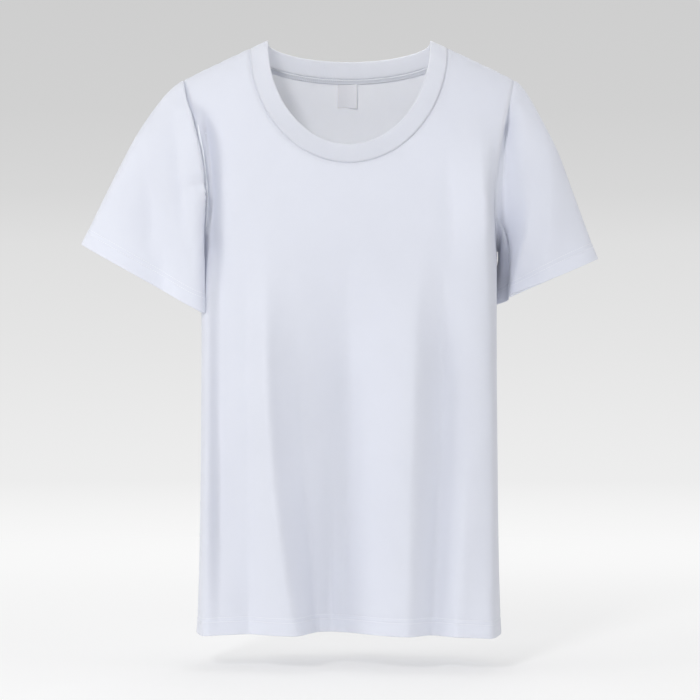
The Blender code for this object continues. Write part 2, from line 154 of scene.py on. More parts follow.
# Near the shirt the paper is lit by the lamps and holds the shirt's shadow. Over half painted glow
# is mixed in there, which pales that shadow. Further out the paper is all painted glow.
far = add_range(tree, distance, GLOW_FADE, interpolation_type="SMOOTHSTEP")
lit_and_painted_glow = add_node(
    tree, "MixShader", [("Fac", far), (1, shader.outputs["BSDF"]), (2, painted_glow.outputs["Emission"])]
)
clear = add_node(tree, "BsdfTransparent").outputs["BSDF"]
behind = add_node(tree, "NewGeometry").outputs["Backfacing"]
one_sided = add_node(tree, "MixShader", [("Fac", behind), (1, lit_and_painted_glow.outputs[0]), (2, clear)])
tree.links.new(one_sided.outputs["Shader"], tree.nodes["Material Output"].inputs["Surface"])
ground.data.materials.append(paper)


# Studio light: a small lamp above the camera and a little to its left draws the folds, with a
# lamp far out at each side, the right one weak, one overhead, one behind, and an even sky.
Lamp = namedtuple("Lamp", "name place width power")
LAMPS = (
    Lamp("key", (-0.80, -2.8, 0.90), 0.4, 43),
    Lamp("side", (-2.8, -1.1, 0.1), 1.0, 20),
    Lamp("right", (3.0, -1.5, 0.0), 1.2, 16),
    Lamp("top", (0.0, 0.2, 2.4), 1.4, 14),
    Lamp("back", (0.3, 3.0, 0.8), 2.0, 34),
)
LAMP_AIM = Vector((0, 0, -0.35))
SKY_COLOUR = (0.60, 0.60, 0.60, 1)
SKY_STRENGTH = 0.62

for lamp in LAMPS:
    light = bpy.data.lights.new(lamp.name, "AREA")
    light.shape = "RECTANGLE"
    light.size = light.size_y = lamp.width
    light.energy = lamp.power
    holder = bpy.data.objects.new(lamp.name, light)
    holder.location = lamp.place
    beam = LAMP_AIM - Vector(lamp.place)
    holder.rotation_euler = beam.to_track_quat("-Z", "Y").to_euler()
    bpy.context.scene.collection.objects.link(holder)

sky = bpy.data.worlds.new("even_sky")
sky.use_nodes = True
background = sky.node_tree.nodes["Background"]
background.inputs["Color"].default_value = SKY_COLOUR
background.inputs["Strength"].default_value = SKY_STRENGTH
bpy.context.scene.world = sky
bpy.context.scene.view_settings.view_transform = "Standard"


# Front panel: one piece of white cotton jersey, cut with a deep neck and hollowed armholes,
# sewn at the shoulders and sides, and turned up 20 mm at the hem. It keeps the form of the
# wearer's chest, and hangs in long soft folds below it.
BODY_LENGTH = 0.700
FRONT_HEM_LIFT = 0.006
NECK_HALF_WIDTH = 0.118
FRONT_NECK_DROP = 0.143
BACK_NECK_DROP = 0.031
SHOULDER_HALF_WIDTH = 0.198
SHOULDER_DROP = 0.038
UNDERARM_DROP = 0.245
CREST_ROUNDING = 0.135
CREST_SOFTENING = 0.050
CHEST_FLATNESS = 0.7
JERSEY = 0.0008
RIM_ROUNDNESS = 0.35
SEAM_CLOSENESS = 0.00005
FRONT, BACK = -1, 1

Section = namedtuple("Section", "drop half_width front_depth back_depth")
SECTIONS = (
    Section(-0.060, 0.244, 0.052, 0.050),
    Section(0.000, 0.244, 0.062, 0.062),
    Section(0.045, 0.244, 0.071, 0.072),
    Section(0.090, 0.236, 0.078, 0.084),
    Section(0.140, 0.222, 0.087, 0.094),
    Section(0.190, 0.200, 0.099, 0.099),
    Section(0.245, 0.177, 0.109, 0.099),
    Section(0.350, 0.1765, 0.113, 0.092),
    Section(0.500, 0.1775, 0.106, 0.084),
    Section(0.600, 0.1790, 0.101, 0.086),
    Section(0.700, 0.1820, 0.098, 0.090),
)
SHOULDER_TOP_WIDTH = SECTIONS[1].half_width
ArmholePoint = namedtuple("ArmholePoint", "drop front_x back_x")
ARMHOLE = (
    ArmholePoint(0.038, 0.1980, 0.1980),
    ArmholePoint(0.090, 0.1860, 0.1885),
    ArmholePoint(0.140, 0.1760, 0.1810),
    ArmholePoint(0.190, 0.1715, 0.1765),
    ArmholePoint(0.245, 0.1770, 0.1770),
)

# Closer rows beside a seam and over the hem, in metres from the edge.
SEAM_ROWS = (0.0007, 0.0016, 0.0028, 0.0044, 0.0065, 0.0092)
HEM_ROWS = (0.0006, 0.0016, 0.0040, 0.0075, 0.0110, 0.0132, 0.0144, 0.0152, 0.0160, 0.0172)
HEM_ROWS += (0.0184, 0.0194, 0.0202, 0.0210, 0.0222, 0.0240, 0.0265)
STRAP_STEPS, STRAP_WIDTH = 25, 0.085
ARMHOLE_STEPS, ARMHOLE_LENGTH = 40, 0.150
YOKE_STEPS, YOKE_LENGTH = 30, 0.090
SIDE_STEPS = 140
NECK_CORNER = 40
YOKE_SHARE = 0.58
NECK_HEM_TURN = 0.44
ROW_SAG = 0.035
NECK_STEPS = 62

# Creases and folds: where each runs, how far it bows aside, its widths to the right and to
# the left of it (towards -X and +X), its height (a trough is below zero), and the shares of
# its length over which it rises and dies away again.
Crease = namedtuple(
    "Crease", "start_x start_drop end_x end_drop bow right_width left_width height rise fall"
)
FRONT_CREASES = (
    Crease(-0.173, 0.160, -0.174, 0.700, 0.0000, 0.006, 0.050, 0.0300, 0.30, 0),
    Crease(-0.155, 0.160, -0.154, 0.800, 0.0000, 0.014, 0.030, -0.0250, 0.20, 0.40),
    Crease(-0.120, 0.200, -0.117, 0.700, 0.0000, 0.045, 0.020, -0.0240, 0.35, 0),
    Crease(-0.097, 0.220, -0.058, 0.700, -0.0140, 0.030, 0.014, 0.0240, 0.45, 0),
    Crease(-0.062, 0.290, -0.036, 0.710, -0.0040, 0.010, 0.011, -0.0070, 0.60, 0),
    Crease(-0.001, 0.200, -0.004, 0.710, 0.0000, 0.062, 0.036, -0.0320, 0.45, 0),
    Crease(-0.030, 0.500, -0.024, 0.720, 0.0000, 0.020, 0.016, -0.0100, 0.80, 0),
    Crease(-0.052, 0.480, -0.034, 0.720, 0.0000, 0.016, 0.040, -0.0110, 0.90, 0),
    Crease(0.080, 0.230, 0.069, 0.710, 0.0000, 0.042, 0.022, 0.0210, 0.40, 0),
    Crease(0.109, 0.230, 0.096, 0.710, 0.0030, 0.020, 0.018, -0.0170, 0.40, 0),
    Crease(0.153, 0.080, 0.166, 0.700, 0.0060, 0.048, 0.012, 0.0350, 0.25, 0),
    Crease(0.165, 0.080, 0.172, 0.700, 0.0040, 0.018, 0.006, 0.0150, 0.25, 0),
    Crease(0.140, 0.450, 0.124, 0.700, 0.0000, 0.016, 0.016, 0.0070, 0.50, 0),
    Crease(-0.022, 0.420, -0.020, 0.720, 0.0000, 0.008, 0.008, -0.0035, 0.60, 0),
    Crease(-0.046, 0.590, -0.022, 0.720, 0.0000, 0.008, 0.008, 0.0028, 0.60, 0),
    Crease(0.110, 0.110, 0.118, 0.300, 0.0040, 0.012, 0.014, -0.0045, 0.40, 0.50),
    Crease(-0.175, 0.070, -0.166, 0.290, 0.0060, 0.007, 0.012, -0.0200, 0.25, 0.50),
    Crease(-0.173, 0.395, -0.140, 0.440, 0.0010, 0.006, 0.006, 0.0012, 0.30, 0.60),
    Crease(0.170, 0.450, 0.142, 0.490, -0.0010, 0.006, 0.006, 0.0012, 0.30, 0.60),
)
CREASE_SHARPNESS = 1.5
CREASE_ROUNDING = 0.0020
CALM_REACH = 0.014
CALM_TURN = 0.12


def through(rows, column, drop):
    """A smooth curve of one column of a table, read at the given drops."""
    knots = np.array([row.drop for row in rows])
    values = np.array([getattr(row, column) for row in rows])
    secants = np.diff(values) / np.diff(knots)
    before, after = secants[:-1], secants[1:]
    rising = before * after > 0
    inner = 2 * before * after / np.where(rising, before + after, 1.0)
    slopes = np.concatenate([secants[:1], np.where(rising, inner, 0.0), secants[-1:]])
    drop = np.clip(drop, knots[0], knots[-1])
    place = np.clip(np.searchsorted(knots, drop, side="right") - 1, 0, len(knots) - 2)
    span = knots[place + 1] - knots[place]
    t = (drop - knots[place]) / span
    return (
        (1 + 2 * t) * (1 - t) ** 2 * values[place]
        + t * (1 - t) ** 2 * span * slopes[place]
        + t * t * (3 - 2 * t) * values[place + 1]
        + t * t * (t - 1) * span * slopes[place + 1]
    )


def eased(share):
    share = np.clip(share, 0.0, 1.0)
    return share * share * (3 - 2 * share)


def unit(vectors):
    return vectors / np.linalg.norm(vectors, axis=-1, keepdims=True)


def crest_height(turn):
    """Height of the shoulder line, carried on over the neck, at a turn of -1 to 1 across."""
    across = SHOULDER_TOP_WIDTH * np.sin(turn * pi / 2)
    reach = np.hypot(across, CREST_SOFTENING)
    neck = np.hypot(NECK_HALF_WIDTH, CREST_SOFTENING)
    tip = np.hypot(SHOULDER_HALF_WIDTH, CREST_SOFTENING)
    return -SHOULDER_DROP * (reach - neck) / (tip - neck)


def fall_at(girth):
    """Height lost at a distance down the cloth, which starts level at the crest."""
    quarter = CREST_ROUNDING * pi / 2
    rounded = CREST_ROUNDING * (1 - np.cos(np.minimum(girth, quarter) / CREST_ROUNDING))
    return rounded + np.maximum(girth - quarter, 0.0)


def girth_at(fall):
    rounded = np.arccos(1 - np.clip(fall / CREST_ROUNDING, 0.0, 1.0)) * CREST_ROUNDING
    return rounded + np.maximum(fall - CREST_ROUNDING, 0.0)


def torso_point(side, turn, girth):
    """A point of the smooth torso: turn runs -1 to 1 across, girth down from the crest."""
    height = crest_height(turn) - fall_at(girth)
    half_width = through(SECTIONS, "half_width", -height)
    depth = through(SECTIONS, "front_depth" if side == FRONT else "back_depth", -height)
    fullness = np.sin(np.minimum(girth / CREST_ROUNDING, pi / 2))
    round_form = np.cos(turn * pi / 2)
    flatness = CHEST_FLATNESS if side == FRONT else 0.0
    x = half_width * np.sin(turn * pi / 2)
    y = side * depth * round_form * (1 + flatness * (1 - round_form)) * fullness
    return np.stack([x, y, height], axis=-1)


def torso_normal(side, turn, girth):
    step = 1e-4
    low, high = np.maximum(girth - step, 0.0), girth + step
    across = torso_point(side, turn + step, girth) - torso_point(side, turn - step, girth)
    down = torso_point(side, turn, high) - torso_point(side, turn, low)
    return unit(np.cross(across, down)) * side


def turn_at(x, height):
    half_width = through(SECTIONS, "half_width", -height)
    return np.arcsin(np.clip(x / half_width, -1.0, 1.0)) * 2 / pi


def on_torso(x, height):
    """The turn and girth of the torso point seen at this x and height."""
    turn = turn_at(x, height)
    return np.stack([turn, girth_at(crest_height(turn) - height)], axis=-1)


def steps_between(steps, length, close_first=(), close_last=()):
    """Even shares from 0 to 1, with closer ones at these distances from either end."""
    places = np.linspace(0, 1, steps + 1)
    if close_first:
        near = np.array(close_first) / length
        places = np.concatenate([[0], near, places[places > near[-1] * 1.2]])
    if close_last:
        near = 1 - np.array(close_last)[::-1] / length
        places = np.concatenate([places[places < 1 - (1 - near[0]) * 1.2], near, [1]])
    return places


ACROSS_STRAP = steps_between(STRAP_STEPS, STRAP_WIDTH, SEAM_ROWS, SEAM_ROWS)
UP_ARMHOLE = steps_between(ARMHOLE_STEPS, ARMHOLE_LENGTH, (), SEAM_ROWS)
UP_STRAP = steps_between(YOKE_STEPS, YOKE_LENGTH, (), SEAM_ROWS)
UP_SIDE = steps_between(SIDE_STEPS, BODY_LENGTH - UNDERARM_DROP, HEM_ROWS)


def hem_edge(side):
    """The hem from the right side seam to the left one."""
    right = -1 + (1 - NECK_HEM_TURN) * ACROSS_STRAP
    middle = np.linspace(-NECK_HEM_TURN, NECK_HEM_TURN, NECK_STEPS + 1)[1:-1]
    turn = np.concatenate([right, middle, -right[::-1]])
    lift = FRONT_HEM_LIFT * (1 - turn**2) if side == FRONT else 0.0
    return np.stack([turn, girth_at(crest_height(turn) + BODY_LENGTH - lift)], axis=-1)


def armhole_shares():
    lower = YOKE_SHARE * UP_ARMHOLE
    upper = YOKE_SHARE + (1 - YOKE_SHARE) * UP_STRAP
    return np.concatenate([lower, upper[1:]])


def armhole_edge(side):
    """The armhole seam from the underarm up to the tip of the left shoulder."""
    rise = (1 - np.cos(pi * armhole_shares())) / 2
    height = -UNDERARM_DROP + (UNDERARM_DROP - SHOULDER_DROP) * rise
    edge = on_torso(through(ARMHOLE, "front_x" if side == FRONT else "back_x", -height), height)
    edge[0, 0] = 1.0
    return edge


def side_edge(side):
    height = -BODY_LENGTH + (BODY_LENGTH - UNDERARM_DROP) * UP_SIDE[:-1]
    seam = np.stack([np.ones_like(height), girth_at(crest_height(1.0) - height)], axis=-1)
    return np.concatenate([seam, armhole_edge(side)])


def shoulder_edge():
    tip = turn_at(-SHOULDER_HALF_WIDTH, -SHOULDER_DROP)
    neck = turn_at(-NECK_HALF_WIDTH, 0.0)
    turn = tip + (neck - tip) * ACROSS_STRAP
    return np.stack([turn, np.zeros_like(turn)], axis=-1)


def neckline_edge(side):
    """The neckline as an oval, from the right neck point down and up to the left one."""
    corner = radians(NECK_CORNER)
    drop = FRONT_NECK_DROP if side == FRONT else BACK_NECK_DROP
    down_strap = 1 - UP_STRAP[::-1]
    first = np.arcsin(fall_at(girth_at(drop * np.sin(corner)) * down_strap) / drop)
    middle = np.linspace(corner, pi - corner, NECK_STEPS + 1)[1:-1]
    around = np.concatenate([first, middle, pi - first[::-1]])
    return on_torso(-NECK_HALF_WIDTH * np.cos(around), -drop * np.sin(around))


def lengths_along(points):
    """How far each point, or each ring of points, lies along from the first."""
    steps = np.linalg.norm(np.diff(points, axis=0), axis=-1)
    return np.concatenate([np.zeros_like(steps[:1]), np.cumsum(steps, axis=0)])


def share_along(points):
    lengths = lengths_along(points)
    return lengths / lengths[-1]


def read_at(places, known, rows):
    """The points of a line at some places, from its rows of points at known places."""
    return np.stack([np.interp(places, known, rows[:, axis]) for axis in range(3)], axis=-1)


def blended(bottom, top, left, right, sag=0.0):
    """A grid of places filled in from its four edges, its rows sagging in the middle."""
    s = share_along(bottom)[None, :, None]
    t = share_along(left)[:, None, None]
    sides = (1 - s) * left[:, None] + s * right[:, None]
    ends = (1 - t) * bottom[None] + t * top[None]
    low = (1 - s) * bottom[0] + s * bottom[-1]
    high = (1 - s) * top[0] + s * top[-1]
    bow = sag * (4 * s * (1 - s)) * (4 * t * (1 - t))
    return sides + ends - (1 - t) * low - t * high + bow * np.array([0.0, 1.0])


def panel_places(side):
    """Turn and girth of every point of a panel. The neck is a notch between two straps."""
    left_side = side_edge(side)
    right_side = left_side * (-1, 1)
    neckline = neckline_edge(side)
    shoulder = shoulder_edge()
    corner = len(UP_STRAP) - 1
    yoke = len(left_side) - 1 - corner
    across = ACROSS_STRAP[:, None]
    right_yoke = right_side[yoke] + (neckline[corner] - right_side[yoke]) * across
    left_yoke = (right_yoke * (-1, 1))[::-1]
    yoke_line = np.concatenate([right_yoke, neckline[corner + 1 : -corner - 1], left_yoke])
    hem = hem_edge(side)
    body = blended(hem, yoke_line, right_side[: yoke + 1], left_side[: yoke + 1], ROW_SAG)
    strap = blended(right_yoke, shoulder, right_side[yoke:], neckline[corner::-1])
    places = np.full((len(left_side), len(hem), 2), np.nan)
    places[: yoke + 1] = body
    places[yoke:, : len(shoulder)] = strap
    places[yoke:, -len(shoulder) :] = (strap * (-1, 1))[:, ::-1]
    return places


def crease_height(creases, points):
    """How far the creases lift the cloth at these points of the smooth shape."""
    x, drop = points[..., 0], -points[..., 2]
    total = np.zeros_like(x)
    for crease in creases:
        run_x, run_drop = crease.end_x - crease.start_x, crease.end_drop - crease.start_drop
        length = np.hypot(run_x, run_drop)
        from_x, from_drop = x - crease.start_x, drop - crease.start_drop
        share = (from_x * run_x + from_drop * run_drop) / length**2
        inside = np.clip(share, 0.0, 1.0)
        aside = (from_x * run_drop - from_drop * run_x) / length
        aside = aside - crease.bow * 4 * inside * (1 - inside)
        grown = eased(share / crease.rise)
        if crease.fall:
            grown = grown * eased((1 - share) / crease.fall)
        width = np.where(aside < 0, crease.right_width, crease.left_width)
        rounded = np.hypot(aside, CREASE_ROUNDING) / width
        total += crease.height * grown * np.exp(-(rounded**CREASE_SHARPNESS))
    return total


def distance_to(seam, points):
    """How far each point lies from a seam, and how far along the seam its nearest place is."""
    nearest = KDTree(len(seam))
    for number, point in enumerate(seam):
        nearest.insert(point, number)
    nearest.balance()
    along = lengths_along(seam)
    away, reached = np.full(points.shape[:-1], 1.0), np.zeros(points.shape[:-1])
    for place in np.argwhere(~np.isnan(points[..., 0])):
        place = tuple(place)
        _, number, away[place] = nearest.find(points[place])
        reached[place] = along[number]
    return away, reached


def dense(seam, steps=8):
    """The same line with more points on it."""
    places = np.linspace(0, len(seam) - 1, (len(seam) - 1) * steps + 1)
    return read_at(places, np.arange(len(seam)), seam)


SEAM_SINK = 0.0011
SEAM_ROUNDING = 0.0022
PUCKER_WAVES = ((1.0, 0.0125, 0.0), (0.7, 0.0192, 1.0), (0.6, 0.0310, 2.1))
PUCKER_HEIGHT = 0.00032
PUCKER_START = 0.003
PUCKER_REACH = 0.0085


def bell(distance, width):
    return np.exp(-((distance / width) ** 2))


def seam_relief(away, along):
    """The cloth dips to a seam and puckers a little beside it."""
    dip = -SEAM_SINK * bell(away, SEAM_ROUNDING)
    waves = sum(size * np.sin(along * 2 * pi / wave + start) for size, wave, start in PUCKER_WAVES)
    swell = bell(away, PUCKER_REACH) * (1 - bell(away, PUCKER_START))
    return dip + PUCKER_HEIGHT * waves * swell


HEM_DEPTH = 0.0205
HEM_EDGE = 0.0010
HEM_FULLNESS = 0.4
HEM_STAND = 0.00035
HEM_SLOPE = 0.006
NEEDLE_ROWS = (0.0152, 0.0202)
NEEDLE_DENT = 0.0011


def hem_relief(away):
    """The turned hem stands a little proud below its two rows of stitches."""
    rows = sum(bell(away - row, NEEDLE_DENT) for row in NEEDLE_ROWS)
    turned = HEM_STAND * (1 - eased((away - NEEDLE_ROWS[0]) / HEM_SLOPE))
    return turned - HEM_STAND * rows


def hem_thickness(away):
    """The turned hem is thicker than the single cloth above it."""
    return JERSEY * (1 + HEM_FULLNESS - HEM_FULLNESS * eased((away - HEM_DEPTH) / HEM_EDGE))


def flat_places(side, turn, girth):
    """Where each point lay in the cloth before it was sewn, in metres."""
    shares = np.linspace(0, 1, 15)
    steps = [torso_point(side, turn * share, girth) for share in shares]
    width = sum(np.linalg.norm(b - a, axis=-1) for a, b in zip(steps, steps[1:]))
    return np.stack([np.sign(turn) * width, -girth], axis=-1)


def panel_points(side, creases):
    """A panel's outer points with folds, seams and hem, their height over the hem, and the
    flat places they came from."""
    places = panel_places(side)
    turn, girth = places[..., 0], places[..., 1]
    smooth = torso_point(side, turn, girth)
    normals = torso_normal(side, turn, girth)
    corner = len(UP_STRAP) - 1
    yoke = len(turn) - 1 - corner
    width = len(ACROSS_STRAP)
    seams = [
        smooth[: yoke + 1 + corner, 0],
        smooth[: yoke + 1 + corner, -1],
        smooth[-1, :width],
        smooth[-1, -width:],
        torso_point(side, *neckline_edge(side).T),
    ]
    relief = np.zeros_like(turn)
    calm = eased((1 - np.abs(turn)) / CALM_TURN)
    for seam in seams:
        away, along = distance_to(dense(seam), smooth)
        relief += seam_relief(away, along)
        calm = np.minimum(calm, eased(away / CALM_REACH))
    hem_lift = FRONT_HEM_LIFT * (1 - turn**2) if side == FRONT else 0.0
    from_hem = smooth[..., 2] + BODY_LENGTH - hem_lift
    relief += hem_relief(from_hem)
    lift = crease_height(creases, smooth) * calm
    points = smooth + normals * relief[..., None] + lift[..., None] * np.array([0, side, 0])
    return points, from_hem, flat_places(side, turn, girth)


def grid_quads(index, flat, closed):
    """The squares of a grid of numbered points, with the flat places of their corners."""
    rows, columns = index.shape
    first = np.arange(columns if closed else columns - 1)
    second = (first + 1) % columns
    here, beside = (first, first), (second, first + 1)
    corners = [(0, *here), (0, *beside), (1, *beside), (1, *here)]
    numbers, flats = [], []
    for up, column, unrolled in corners:
        block = slice(up, rows - 1 + up)
        numbers.append(index[block][:, column])
        flats.append(flat[block][:, unrolled if closed else column])
    quads = np.stack(numbers, axis=-1).reshape(-1, 4)
    corner_flats = np.stack(flats, axis=-2).reshape(-1, 4, 2)
    whole = (quads >= 0).all(axis=1)
    return quads[whole], corner_flats[whole]


def point_normals(points, quads):
    across = points[quads[:, 2]] - points[quads[:, 0]]
    up = points[quads[:, 3]] - points[quads[:, 1]]
    face_normals = np.cross(across, up)
    normals = np.zeros_like(points)
    for corner in range(4):
        np.add.at(normals, quads[:, corner], face_normals)
    return unit(normals)


def open_edges(quads, count):
    """The edges that only one square has: where each starts, and where it ends."""
    tails = quads.ravel()
    heads = np.roll(quads, -1, axis=1).ravel()
    alone = ~np.isin(tails * count + heads, heads * count + tails)
    return tails[alone], heads[alone]


def add_piece(name, verts, faces, flats=None):
    """A smooth mesh in the scene, with the flat places of its corners as its UV map."""
    data = bpy.data.meshes.new(name)
    data.from_pydata(verts.tolist(), [], faces)
    if flats is not None:
        places = np.array(flats, np.float32).ravel()
        data.uv_layers.new(name="cloth").data.foreach_set("uv", places)
    data.shade_smooth()
    piece = bpy.data.objects.new(name, data)
    bpy.context.scene.collection.objects.link(piece)
    return piece


def cloth_shell(name, outer, thickness, flat, closed=False, flip=False):
    """A thin closed piece of cloth: outer points, the same points set in, and round edges."""
    used = ~np.isnan(outer[..., 0])
    index = np.full(used.shape, -1)
    index[used] = np.arange(used.sum())
    quads, corner_flats = grid_quads(index, flat, closed)
    if flip:
        quads, corner_flats = quads[:, ::-1], corner_flats[:, ::-1]
    points = outer[used]
    count = len(points)
    depth = np.broadcast_to(thickness, used.shape)[used][:, None]
    normals = point_normals(points, quads)
    inner = points - normals * depth
    tails, heads = open_edges(quads, count)
    edge_out = np.cross(points[heads] - points[tails], normals[tails])
    out = np.zeros_like(points)
    np.add.at(out, tails, edge_out)
    np.add.at(out, heads, edge_out)
    rim = np.unique(tails)
    on_rim = np.full(count, -1)
    on_rim[rim] = 2 * count + np.arange(len(rim))
    middle = (points[rim] + inner[rim]) / 2 + unit(out[rim]) * depth[rim] * RIM_ROUNDNESS
    rim_outer = np.stack([heads, tails, on_rim[tails], on_rim[heads]], axis=-1)
    rim_inner = np.stack([on_rim[heads], on_rim[tails], tails + count, heads + count], axis=-1)
    faces = np.concatenate([quads, (quads + count)[:, ::-1], rim_outer, rim_inner])
    flat_of = flat[:, : used.shape[1]][used]
    rim_flats = flat_of[np.stack([heads, tails, tails, heads], axis=-1)]
    flats = np.concatenate([corner_flats, corner_flats[:, ::-1], rim_flats, rim_flats])
    piece = add_piece(name, np.concatenate([points, inner, middle]), faces.tolist(), flats)
    inside = np.zeros(len(faces), np.int32)
    inside[len(quads) : 2 * len(quads)] = 1
    piece.data.polygons.foreach_set("material_index", inside)
    piece.data.update()
    return piece


def cloth_places(tree):
    """The flat places of the cloth, in metres."""
    return add_node(tree, "UVMap", uv_map="cloth").outputs["UV"]


def add_bump(tree, height, strength, distance):
    bump = add_node(tree, "Bump", [("Height", height)])
    bump.inputs["Strength"].default_value = strength
    bump.inputs["Distance"].default_value = distance
    shader = tree.nodes["Principled BSDF"]
    tree.links.new(bump.outputs["Normal"], shader.inputs["Normal"])


def add_noise(tree, places, scale, detail=2):
    noise = add_node(tree, "TexNoise", [("Vector", places)])
    noise.inputs["Scale"].default_value = scale
    noise.inputs["Detail"].default_value = detail
    return noise.outputs["Fac"]


Gauge = namedtuple("Gauge", "wale course")
JERSEY_GAUGE = Gauge(0.00090, 0.00070)
LOOP_SLANT = 1.4
BAR_SLANT = 0.5
LOOP_SHARE = 0.45
FIBRE_SHARE = 0.8
FIBRE_SCALE = 700
CLOUD_SCALE = 14
TINTS = (0.975, 1.02)


def knit(name, colour, sheer, glow_depth, gauge, relief, face_side=True):
    """Knitted cotton: columns of small V loops on the face, and rows of bars on the back."""
    material, tree, shader = plain_material(name, colour, 0.9, 0.25)
    shader.inputs["Sheen Weight"].default_value = 0.18
    shader.inputs["Sheen Roughness"].default_value = 0.5
    shader.inputs["Subsurface Weight"].default_value = sheer
    shader.inputs["Subsurface Radius"].default_value = (1.0, 1.0, 1.0)
    shader.inputs["Subsurface Scale"].default_value = glow_depth
    places = cloth_places(tree)
    split = add_node(tree, "SeparateXYZ", [(0, places)])

    def math(operation, first, second=None):
        node = add_node(tree, "Math", operation=operation)
        for socket, value in zip(node.inputs, (first, second)):
            if isinstance(value, (int, float)):
                socket.default_value = value
            elif value is not None:
                tree.links.new(value, socket)
        return node.outputs[0]

    across = math("MULTIPLY", split.outputs["X"], 1 / gauge.wale)
    along = math("MULTIPLY", split.outputs["Y"], 1 / gauge.course)
    column = math("PINGPONG", across, 0.5)
    slanted = math("MULTIPLY", column, LOOP_SLANT if face_side else BAR_SLANT)
    height = math("SINE", math("MULTIPLY", math("ADD", along, slanted), 2 * pi))
    if face_side:
        columns = math("SINE", math("MULTIPLY", column, pi))
        height = math("ADD", columns, math("MULTIPLY", height, LOOP_SHARE))
    fibres = math("MULTIPLY", add_noise(tree, places, FIBRE_SCALE), FIBRE_SHARE)
    add_bump(tree, math("ADD", height, fibres), 0.35, relief)
    clouds = add_noise(tree, places, CLOUD_SCALE, detail=3)
    tint = add_node(tree, "Mix", data_type="RGBA")
    for socket, share in zip("AB", TINTS):
        tint.inputs[socket].default_value = (*[share * value for value in colour], 1)
    tree.links.new(clouds, tint.inputs["Factor"])
    tree.links.new(tint.outputs["Result"], shader.inputs["Base Color"])
    return material


# The back side of the jersey is the same cloth as the face, but it is given a paler colour and
# lets more light through. The paler colour is painted light, which brightens the shaded inside
# seen through the neck.
jersey_face = knit("jersey_face", (0.683, 0.705, 0.790), 0.42, 0.004, JERSEY_GAUGE, 0.00022)
jersey_back_painted_light = knit(
    "jersey_back_painted_light", (0.818, 0.844, 0.965), 0.8, 0.004, JERSEY_GAUGE, 0.00018, face_side=False
)

front_points, front_from_hem, front_flat = panel_points(FRONT, FRONT_CREASES)
front = cloth_shell("front_jersey", front_points, hem_thickness(front_from_hem), front_flat)
front.data.materials.append(jersey_face)
front.data.materials.append(jersey_back_painted_light)
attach(front, "root")
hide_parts("front_panel")


# Back panel: cut like the front, but high at the neck. Its folds fall from the shoulder
# blades, and the camera sees only its inner side through the neck.
BACK_CREASES = (
    Crease(-0.128, 0.330, -0.112, 0.700, -0.0020, 0.017, 0.017, -0.0154, 0.62, 0),
    Crease(-0.086, 0.280, -0.068, 0.700, -0.0030, 0.021, 0.021, 0.0110, 0.62, 0),
    Crease(-0.030, 0.260, -0.026, 0.700, -0.0060, 0.020, 0.020, -0.0198, 0.77, 0),
    Crease(0.022, 0.340, 0.024, 0.700, -0.0050, 0.024, 0.024, 0.0110, 0.67, 0),
    Crease(0.078, 0.300, 0.066, 0.700, 0.0000, 0.019, 0.019, -0.0176, 0.68, 0),
    Crease(0.132, 0.260, 0.120, 0.700, 0.0020, 0.018, 0.018, 0.0110, 0.64, 0),
    Crease(-0.140, 0.110, -0.120, 0.300, 0.0040, 0.015, 0.015, 0.0018, 0.40, 0.50),
    Crease(0.146, 0.120, 0.118, 0.290, -0.0040, 0.014, 0.014, 0.0020, 0.40, 0.50),
    Crease(-0.060, 0.070, 0.058, 0.074, 0.0060, 0.008, 0.008, -0.0010, 0.40, 0.40),
    Crease(0.045, 0.430, 0.040, 0.640, 0.0000, 0.010, 0.010, -0.0016, 0.40, 0.40),
    Crease(-0.160, 0.560, -0.150, 0.705, 0.0000, 0.010, 0.010, -0.0025, 0.50, 0),
    Crease(0.165, 0.380, 0.130, 0.420, 0.0010, 0.007, 0.007, 0.0012, 0.30, 0.60),
)
back_points, back_from_hem, back_flat = panel_points(BACK, BACK_CREASES)
back = cloth_shell(
    "back_jersey", back_points, hem_thickness(back_from_hem), back_flat, flip=True
)
back.data.materials.append(jersey_face)
back.data.materials.append(jersey_back_painted_light)
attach(back, "root")
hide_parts("back_panel")


# Sleeves: each one piece of jersey, joined to a tube under the arm, set into the armhole,
# and turned up 20 mm at the cuff. Both hang close to the body, the left one a little closer,
# with a deep fold between it and the body.
UNDERARM_LEAN = 88
UNDERARM_PULL = 0.30
CUFF_PULL = 0.60
SLEEVE_STEPS, SLEEVE_LENGTH = 62, 0.210

# Each cuff as an oval: its inner and outer ends, its depth from front to back, and the slopes
# at which the cloth reaches it. The pulls, powers and leans shape the lines from the armhole.
# The tuck draws the front in beside the body, and the roll is the cloth's small fold over the
# armhole seam.
CUFFS = {
    "right_sleeve": dict(
        side=-1, inner=(0.1722, -0.048, -0.319), outer=(0.319, -0.006, -0.235), depth=0.082,
        inner_slope=86, outer_slope=62, shoulder_pull=0.65, lean_power=0.8, forward_lean=1.2,
        gathering=2.0, tuck=0.0025, tuck_back=0.012, roll=0.0045,
    ),
    "left_sleeve": dict(
        side=1, inner=(0.1705, 0.036, -0.309), outer=(0.297, -0.014, -0.253), depth=0.106,
        inner_slope=88, outer_slope=67, shoulder_pull=0.42, lean_power=2.5, forward_lean=0.0,
        gathering=1.0, tuck=0.0, tuck_back=0.0, roll=0.0,
    ),
}
Cuff = namedtuple("Cuff", list(CUFFS["right_sleeve"]))
CUFFS = {node: Cuff(**values) for node, values in CUFFS.items()}
TUCK_PLACE, TUCK_WIDTH = 0.25, 0.13
ROLL_START, ROLL_REACH = 0.003, 0.011
ROLL_DIRECTION = (-1.0, -1.5, 0.0)
SEAM_CALM = 0.012
